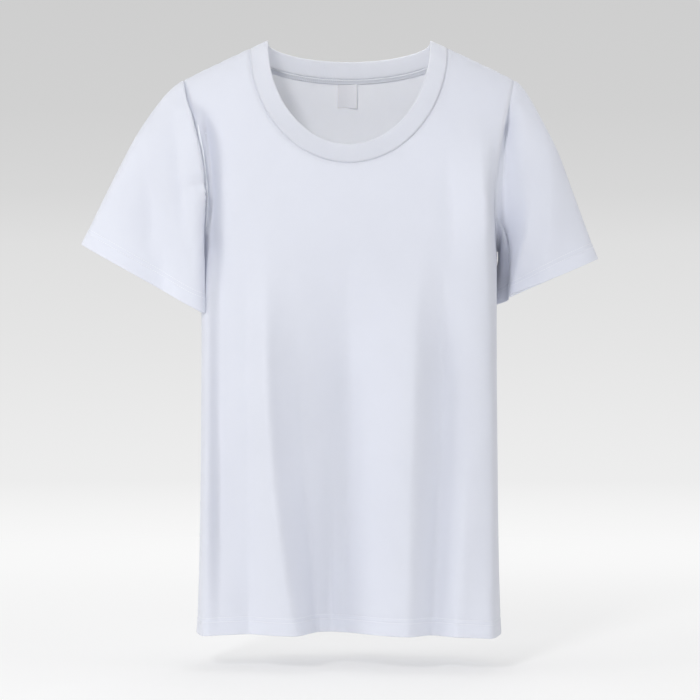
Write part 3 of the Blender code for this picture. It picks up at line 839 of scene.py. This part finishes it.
SLEEVE_CREASES = {
    "right_sleeve": (
        Crease(0.193, 0.060, 0.176, 0.170, 0.0000, 0.004, 0.016, 0.0100, 0.25, 0.15),
        Crease(0.176, 0.150, 0.173, 0.335, 0.0000, 0.002, 0.013, 0.0150, 0.20, 0),
        Crease(0.222, 0.070, 0.305, 0.235, 0.0000, 0.045, 0.010, 0.0190, 0.30, 0),
        Crease(0.206, 0.070, 0.192, 0.240, 0.0000, 0.008, 0.010, -0.0050, 0.30, 0.38),
        Crease(0.240, 0.110, 0.232, 0.330, 0.0000, 0.026, 0.026, -0.0110, 0.50, 0),
        Crease(0.236, 0.150, 0.236, 0.260, 0.0000, 0.006, 0.008, -0.0025, 0.40, 0.40),
        Crease(0.226, 0.210, 0.218, 0.325, 0.0000, 0.012, 0.014, -0.0070, 0.60, 0),
    ),
    "left_sleeve": (
        Crease(0.193, 0.060, 0.181, 0.320, 0.0010, 0.013, 0.008, -0.0200, 0.15, 0),
        Crease(0.206, 0.160, 0.200, 0.330, 0.0000, 0.007, 0.030, 0.0180, 0.40, 0),
        Crease(0.228, 0.070, 0.238, 0.320, 0.0000, 0.036, 0.030, 0.0160, 0.30, 0),
        Crease(0.204, 0.058, 0.226, 0.082, 0.0000, 0.004, 0.005, -0.0025, 0.30, 0.40),
    ),
}
SLEEVE_BACK_CREASES = {
    "right_sleeve": (
        Crease(0.205, 0.090, 0.215, 0.300, 0.0040, 0.014, 0.014, -0.0040, 0.35, 0),
        Crease(0.235, 0.110, 0.255, 0.290, 0.0000, 0.014, 0.014, 0.0030, 0.40, 0),
    ),
    "left_sleeve": (
        Crease(0.208, 0.080, 0.212, 0.300, 0.0030, 0.013, 0.013, -0.0045, 0.35, 0),
        Crease(0.232, 0.120, 0.246, 0.290, 0.0000, 0.015, 0.015, 0.0030, 0.40, 0),
    ),
}
DOWN_SLEEVE = steps_between(SLEEVE_STEPS, SLEEVE_LENGTH, SEAM_ROWS, HEM_ROWS)


def outward_along(points, normals, centre, closed=False):
    """Directions in the cloth, square to an edge and away from the centre."""
    if closed:
        along = np.roll(points, -1, axis=0) - np.roll(points, 1, axis=0)
    else:
        along = np.gradient(points, axis=0)
    out = unit(np.cross(normals, along))
    return out * np.sign(np.sum(out * (points - centre)))


def seam_ring(front_edge, back_edge):
    """A closed seam along the front edge and back along the back edge, on the torso."""
    edges = ((FRONT, front_edge), (BACK, back_edge[-2:0:-1]))
    points = np.concatenate([torso_point(side, *edge.T) for side, edge in edges])
    normals = np.concatenate([torso_normal(side, *edge.T) for side, edge in edges])
    return points, normals


def cuff_ring(cuff, rise, front):
    """The cuff's oval: rise 0 is its inner end and 1 its outer end."""
    inner, outer = np.array(cuff.inner), np.array(cuff.outer)
    angle = pi * np.where(front, rise**cuff.gathering, rise)[:, None]
    ring = (inner + outer) / 2 + (inner - outer) / 2 * np.cos(angle)
    ring[:, 1] += np.where(front, -1, 1) * np.sin(angle[:, 0]) * cuff.depth / 2
    return ring


def ring_normals(rings):
    around = np.roll(rings, -1, axis=1) - np.roll(rings, 1, axis=1)
    along = np.gradient(rings, axis=0)
    return unit(np.cross(along, around))


def sleeve_rings(cuff, rise, front_half):
    """Smooth rings from the armhole, which they leave in the line of the cloth, to the cuff."""
    start, facing = seam_ring(armhole_edge(FRONT), armhole_edge(BACK))
    away = -outward_along(start, facing, start.mean(axis=0), closed=True)
    end = cuff_ring(cuff, rise, front_half)
    lean = radians(UNDERARM_LEAN) * eased(1 - rise)[:, None] ** cuff.lean_power
    leave = away * np.cos(lean) + facing * np.sin(lean)
    leave[front_half, 1] -= cuff.forward_lean * np.sin(lean[front_half, 0]) ** 2
    leave = unit(leave)
    slope = np.radians(cuff.inner_slope + (cuff.outer_slope - cuff.inner_slope) * rise)
    arrive = np.stack([np.cos(slope), np.zeros_like(slope), -np.sin(slope)], axis=-1)
    start = start + (away + facing * np.sin(lean)) * SEAM_CLOSENESS
    length = np.linalg.norm(end - start, axis=-1, keepdims=True)
    pull = UNDERARM_PULL + (cuff.shoulder_pull - UNDERARM_PULL) * rise[:, None]
    t = DOWN_SLEEVE[:, None, None]
    rings = (
        (1 + 2 * t) * (1 - t) ** 2 * start
        + t * (1 - t) ** 2 * length * pull * leave
        + t * t * (3 - 2 * t) * end
        + t * t * (t - 1) * length * CUFF_PULL * arrive
    )
    beside_body = np.where(front_half, bell(rise - TUCK_PLACE, TUCK_WIDTH), 0.0)
    beside_body = np.sin(pi * DOWN_SLEEVE[:, None]) ** 2 * beside_body
    rings[..., 0] -= cuff.tuck * beside_body
    rings[..., 1] += cuff.tuck_back * beside_body
    return rings


def sleeve_points(name):
    """A sleeve's outer points with folds, seam and cuff, their height over the cuff, and the
    flat places they came from."""
    cuff = CUFFS[name]
    shares = armhole_shares()
    rise = np.concatenate([shares, shares[-2:0:-1]])
    front_half = np.arange(len(rise)) < len(shares)
    rings = sleeve_rings(cuff, rise, front_half)
    normals = ring_normals(rings)
    facing_front = np.clip(-normals[..., 1], 0.0, 1.0)
    facing_back = np.clip(normals[..., 1], 0.0, 1.0)
    lift = crease_height(SLEEVE_CREASES[name], rings) * facing_front
    lift += crease_height(SLEEVE_BACK_CREASES[name], rings) * facing_back
    lift = lift * eased(DOWN_SLEEVE / SEAM_CALM)[:, None]
    from_seam = lengths_along(rings)
    from_cuff = from_seam[-1] - from_seam
    around = np.linalg.norm(np.roll(rings, -1, axis=1) - rings, axis=-1)
    around = np.concatenate([[0], np.cumsum(around.mean(axis=0))])
    lift += seam_relief(from_seam, np.broadcast_to(around[:-1], from_seam.shape))
    lift += hem_relief(from_cuff)
    points = rings + normals * lift[..., None]
    over = np.where(front_half, eased((rise - 0.20) / 0.15) * eased((1 - rise) / 0.08), 0.0)
    roll = (1 - bell(from_seam, ROLL_START)) * bell(from_seam, ROLL_REACH)
    points += cuff.roll * (roll * over)[..., None] * np.array(ROLL_DIRECTION)
    flat_down = np.concatenate([from_seam, from_seam[:, :1]], axis=1)
    flat = np.stack([np.broadcast_to(around, flat_down.shape), -flat_down], axis=-1)
    return points * (cuff.side, 1, 1), from_cuff, flat


cuffs_to_sew = {}
for node, cuff in CUFFS.items():
    points, from_cuff, flat = sleeve_points(node)
    cuffs_to_sew[node] = (points, from_cuff)
    name = node.replace("sleeve", "jersey_sleeve")
    thickness = hem_thickness(from_cuff)
    sleeve = cloth_shell(name, points, thickness, flat, closed=True, flip=cuff.side == 1)
    sleeve.data.materials.append(jersey_face)
    sleeve.data.materials.append(jersey_back_painted_light)
    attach(sleeve, "root")
    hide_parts(node)


# Neck rib: a strip of stretchy rib knit, folded double along its length, joined to a ring
# and sewn on by its raw edges. It stands a little proud of the jersey beside it.
RIB_WIDTH = 0.0225
RIB_THICKNESS = 0.0020
RIB_SECTION_STEPS = 14
RIB_FOLD = 0.93
RIB_AT_SEAM = 0.75
RIB_SEAM_REACH = 0.003
RIB_GAUGE = Gauge(0.0018, 0.0009)


def rib_section():
    """The folded strip cut across: how far it is from the seam, and how far it stands out."""
    reach = np.sin(np.linspace(0, 1, RIB_SECTION_STEPS + 1) * pi / 2)
    past_fold = (reach - RIB_FOLD) / (1 - RIB_FOLD)
    half = RIB_THICKNESS / 2 * np.sqrt(np.clip(1 - past_fold**2, 0, 1))
    half = np.where(reach < RIB_FOLD, RIB_THICKNESS / 2, half)
    half = half * (RIB_AT_SEAM + (1 - RIB_AT_SEAM) * eased(reach * RIB_WIDTH / RIB_SEAM_REACH))
    outer = np.stack([reach * RIB_WIDTH, half], axis=-1)
    inner = np.stack([reach * RIB_WIDTH, -half], axis=-1)[-2::-1]
    return np.concatenate([outer, inner])


def rib_rings():
    seam, facing = seam_ring(neckline_edge(FRONT), neckline_edge(BACK))
    away = -outward_along(seam, facing, seam.mean(axis=0), closed=True)
    section = rib_section()
    reach, stand = section[:, 0, None, None], section[:, 1, None, None]
    return seam + away * (SEAM_CLOSENESS + reach) + facing * (stand - RIB_THICKNESS / 2)


rings = rib_rings()
around = lengths_along(np.concatenate([rings[0], rings[0, :1]]))
across = lengths_along(rib_section())
count_across, count_round = rings.shape[:2]
faces, rib_flats = [], []
for row in range(count_across):
    following = (row + 1) % count_across
    low, high = across[row], across[following or row]
    for column in range(count_round):
        beside = (column + 1) % count_round
        corners = ((row, column), (row, beside), (following, beside), (following, column))
        faces.append([ring * count_round + place for ring, place in corners])
        start, end = around[column], around[column + 1]
        rib_flats.extend([(start, low), (end, low), (end, high), (start, high)])
rib = add_piece("neck_rib_knit", rings.reshape(-1, 3), faces, rib_flats)
rib_face = knit("rib_face", (0.698, 0.724, 0.832), 0.8, 0.012, RIB_GAUGE, 0.0005)
rib.data.materials.append(rib_face)
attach(rib, "root")
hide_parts("neck_rib")


# Size label: a short folded tape of white satin, tacked inside the back below the neck seam.
# Its face is bare. It lies close at the wearer's right, and its other edge stands off.
LABEL_WIDTH = 0.024
LABEL_HEIGHT = 0.028
LABEL_TOP_DROP = 0.0365
LABEL_CENTRE_X = -0.002
LABEL_LIFT = 0.0030
LABEL_LIFT_START = 0.45
LABEL_LIFT_AT_TOP = 0.35
LABEL_CLEARANCE = 0.0004
LABEL_THICKNESS = 0.0004
SATIN_THREADS = 700

share = np.linspace(0, 1, 25)
grid_x, grid_height = np.meshgrid(
    LABEL_CENTRE_X + LABEL_WIDTH * (share - 0.5), -LABEL_TOP_DROP - LABEL_HEIGHT * share
)
turn, girth = on_torso(grid_x, grid_height)[..., 0], on_torso(grid_x, grid_height)[..., 1]
across_lift = eased((share[None, :] - LABEL_LIFT_START) / (1 - LABEL_LIFT_START))
down_lift = LABEL_LIFT_AT_TOP + (1 - LABEL_LIFT_AT_TOP) * eased(share[:, None])
stand = JERSEY + LABEL_CLEARANCE + LABEL_LIFT * across_lift * down_lift
points = torso_point(BACK, turn, girth) - torso_normal(BACK, turn, girth) * stand[..., None]
label_flat = np.stack(np.meshgrid(share * LABEL_WIDTH, -share * LABEL_HEIGHT), axis=-1)
label = cloth_shell("label_tape", points, LABEL_THICKNESS, label_flat)


def add_bands(tree, direction, scale, **wobble):
    """Fine even bands over the flat cloth."""
    bands = add_node(
        tree, "TexWave", [("Vector", cloth_places(tree))],
        wave_type="BANDS", bands_direction=direction,
    )
    for socket, value in {"Scale": scale, **wobble}.items():
        bands.inputs[socket].default_value = value
    return bands.outputs["Fac"]


satin, tree, shader = plain_material("label_satin", (0.98, 0.98, 1.0), 0.45)
shader.inputs["Sheen Weight"].default_value = 0.3
add_bump(tree, add_bands(tree, "Y", SATIN_THREADS), 0.25, 0.0001)
label.data.materials.append(satin)
label.data.materials.append(satin)
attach(label, "root")
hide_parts("neck_label")


# Seam allowances: inside every seam the two raw edges of the jersey are trimmed to 6 mm,
# overlocked together with white thread, and pressed to lie against the back or the body.
ALLOWANCE = 0.006
ALLOWANCE_THICKNESS = 0.0011
ALLOWANCE_CLEARANCE = 0.0002
SIDE_SEAM_STEPS = 70
ABOVE_HEM = 0.022
BELOW_UNDERARM = 0.009
SHOULDER_SEAM_PART = slice(8, -7)

overlock, tree, shader = plain_material("overlock_thread", (0.90, 0.92, 0.96), 0.8, 0.3)
overlock_loops = add_bands(tree, "X", 130, Distortion=1.5, Detail=2)
add_bump(tree, overlock_loops, 0.6, 0.0004)


def seam_allowance(name, seam, onto, facing, closed=False):
    """A narrow strip from a seam onto the inside of the piece beside it."""
    reach = ALLOWANCE * np.linspace(0, 1, 6)
    dip = SEAM_SINK * bell(reach, SEAM_ROUNDING)
    stand = (JERSEY + dip + PUCKER_HEIGHT + ALLOWANCE_CLEARANCE)[:, None, None]
    points = seam + onto * reach[:, None, None] - facing * stand
    line = np.concatenate([seam, seam[:1]]) if closed else seam
    flat = np.stack(np.meshgrid(lengths_along(line), reach), axis=-1)
    turned = np.cross(points[0, 1:] - points[0, :-1], points[1, 1:] - points[0, 1:])
    flip = np.sum(turned * facing[1:]) < 0
    strip = cloth_shell(name, points, ALLOWANCE_THICKNESS, flat, closed=closed, flip=flip)
    strip.data.materials.append(overlock)
    strip.data.materials.append(overlock)
    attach(strip, "root")
    return strip


ring, facing = seam_ring(neckline_edge(FRONT), neckline_edge(BACK))
onto = outward_along(ring, facing, ring.mean(axis=0), closed=True)
back_edges = [seam_allowance("neck_allowance", ring, onto, facing, closed=True)]

ring, facing = seam_ring(armhole_edge(FRONT), armhole_edge(BACK))
onto = outward_along(ring, facing, ring.mean(axis=0), closed=True)
for wearer_side, side in (("right", -1), ("left", 1)):
    name = wearer_side + "_armhole_allowance"
    mirror = np.array([side, 1, 1])
    edge = seam_allowance(name, ring * mirror, onto * mirror, facing * mirror, closed=True)
    sleeve = bpy.data.objects[wearer_side + "_jersey_sleeve"]

seam_height = np.linspace(
    -BODY_LENGTH + ABOVE_HEM, -UNDERARM_DROP - BELOW_UNDERARM, SIDE_SEAM_STEPS
)
for name, side in (("right_side_allowance", -1.0), ("left_side_allowance", 1.0)):
    girth = girth_at(crest_height(side) - seam_height)
    seam = torso_point(BACK, np.full_like(girth, side), girth)
    onto = np.broadcast_to([0.0, 1.0, 0.0], seam.shape)
    outward = np.broadcast_to([side, 0.0, 0.0], seam.shape)
    back_edges.append(seam_allowance(name, seam, onto, outward))

turn, girth = shoulder_edge()[SHOULDER_SEAM_PART].T
seam, facing = torso_point(BACK, turn, girth), torso_normal(BACK, turn, girth)
onto = np.broadcast_to([0.0, 1.0, 0.0], seam.shape)
for name, side in (("right_shoulder_allowance", 1), ("left_shoulder_allowance", -1)):
    mirror = np.array([side, 1, 1])
    back_edges.append(seam_allowance(name, seam * mirror, onto, facing * mirror))


# Hem and cuff stitches: two level rows of white thread from a twin needle, which hold the
# turned edge. Each stitch is a short grain of thread that sinks a little into the jersey.
STITCH_LENGTH = 0.0024
STITCH_PITCH = 0.0031
THREAD_WIDTH = 0.00045
THREAD_STAND = 0.2
HEM_GRID_ROWS = 30
LINE_STEP = 0.001

bpy.ops.object.select_all(action="DESELECT")
bpy.ops.mesh.primitive_uv_sphere_add(segments=6, ring_count=4, radius=0.5)
grain = bpy.context.object
bpy.ops.object.mode_set(mode="EDIT")
bpy.ops.transform.rotate(value=pi / 2, orient_axis="Y", center_override=(0, 0, 0))
bpy.ops.transform.resize(value=(STITCH_LENGTH, THREAD_WIDTH, THREAD_WIDTH))
bpy.ops.object.mode_set(mode="OBJECT")
grain_points = np.array([vertex.co for vertex in grain.data.vertices])
grain_faces = [tuple(face.vertices) for face in grain.data.polygons]
bpy.data.objects.remove(grain, do_unlink=True)

thread, tree, shader = plain_material("sewing_thread", (0.84, 0.86, 0.90), 0.55)
shader.inputs["Sheen Weight"].default_value = 0.2
place = add_node(tree, "TexCoord").outputs["Object"]
add_bump(tree, add_noise(tree, place, 4000), 0.3, 0.0001)


def row_on(points, away, distance):
    """The line on the cloth at a distance from its edge, and the direction out of the cloth."""
    order = slice(None) if away[0, 0] < away[-1, 0] else slice(None, None, -1)
    columns = range(points.shape[1])
    line, beside = (
        np.array([read_at(level, away[order, n], points[order, n]) for n in columns])
        for level in (distance, distance + LINE_STEP)
    )
    return line, unit(np.cross(np.gradient(line, axis=0), beside - line))


def stitch_row(line, facing, outward):
    """Places and directions of the stitches along a line."""
    if np.sum(facing * outward) < 0:
        facing = -facing
    length = lengths_along(line)
    middles = np.arange(STITCH_PITCH / 2, length[-1] - STITCH_PITCH / 3, STITCH_PITCH)
    ahead = read_at(middles + LINE_STEP, length, line)
    astern = read_at(middles - LINE_STEP, length, line)
    centres = read_at(middles, length, line)
    return centres, unit(ahead - astern), unit(read_at(middles, length, facing))


def sew(name, rows):
    """All the stitches of a hem as one piece, each a copy of the grain of thread."""
    places, along, facing = (np.concatenate(part) for part in zip(*rows))
    across = unit(np.cross(facing, along))
    facing = np.cross(along, across)
    centres = places + facing * THREAD_WIDTH * THREAD_STAND
    frames = np.stack([along, across, facing], axis=-2)
    verts = centres[:, None] + np.einsum("gi,nij->ngj", grain_points, frames)
    faces = [
        [number * len(grain_points) + corner for corner in face]
        for number in range(len(places)) for face in grain_faces
    ]
    piece = add_piece(name, verts.reshape(-1, 3), faces)
    piece.data.materials.append(thread)
    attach(piece, "root")


hem_rows = []
for points, from_hem in ((front_points, front_from_hem), (back_points, back_from_hem)):
    for distance in NEEDLE_ROWS:
        line, facing = row_on(points[:HEM_GRID_ROWS], from_hem[:HEM_GRID_ROWS], distance)
        hem_rows.append(stitch_row(line, facing, line * (1, 1, 0)))
sew("hem_stitches", hem_rows)

for node, (points, from_cuff) in cuffs_to_sew.items():
    closed = np.concatenate([points, points[:, :1]], axis=1)
    away = np.concatenate([from_cuff, from_cuff[:, :1]], axis=1)
    rows = []
    for distance in NEEDLE_ROWS:
        line, facing = row_on(closed[-HEM_GRID_ROWS:], away[-HEM_GRID_ROWS:], distance)
        rows.append(stitch_row(line, facing, line - line.mean(axis=0)))
    sew(node.replace("sleeve", "cuff_stitches"), rows)
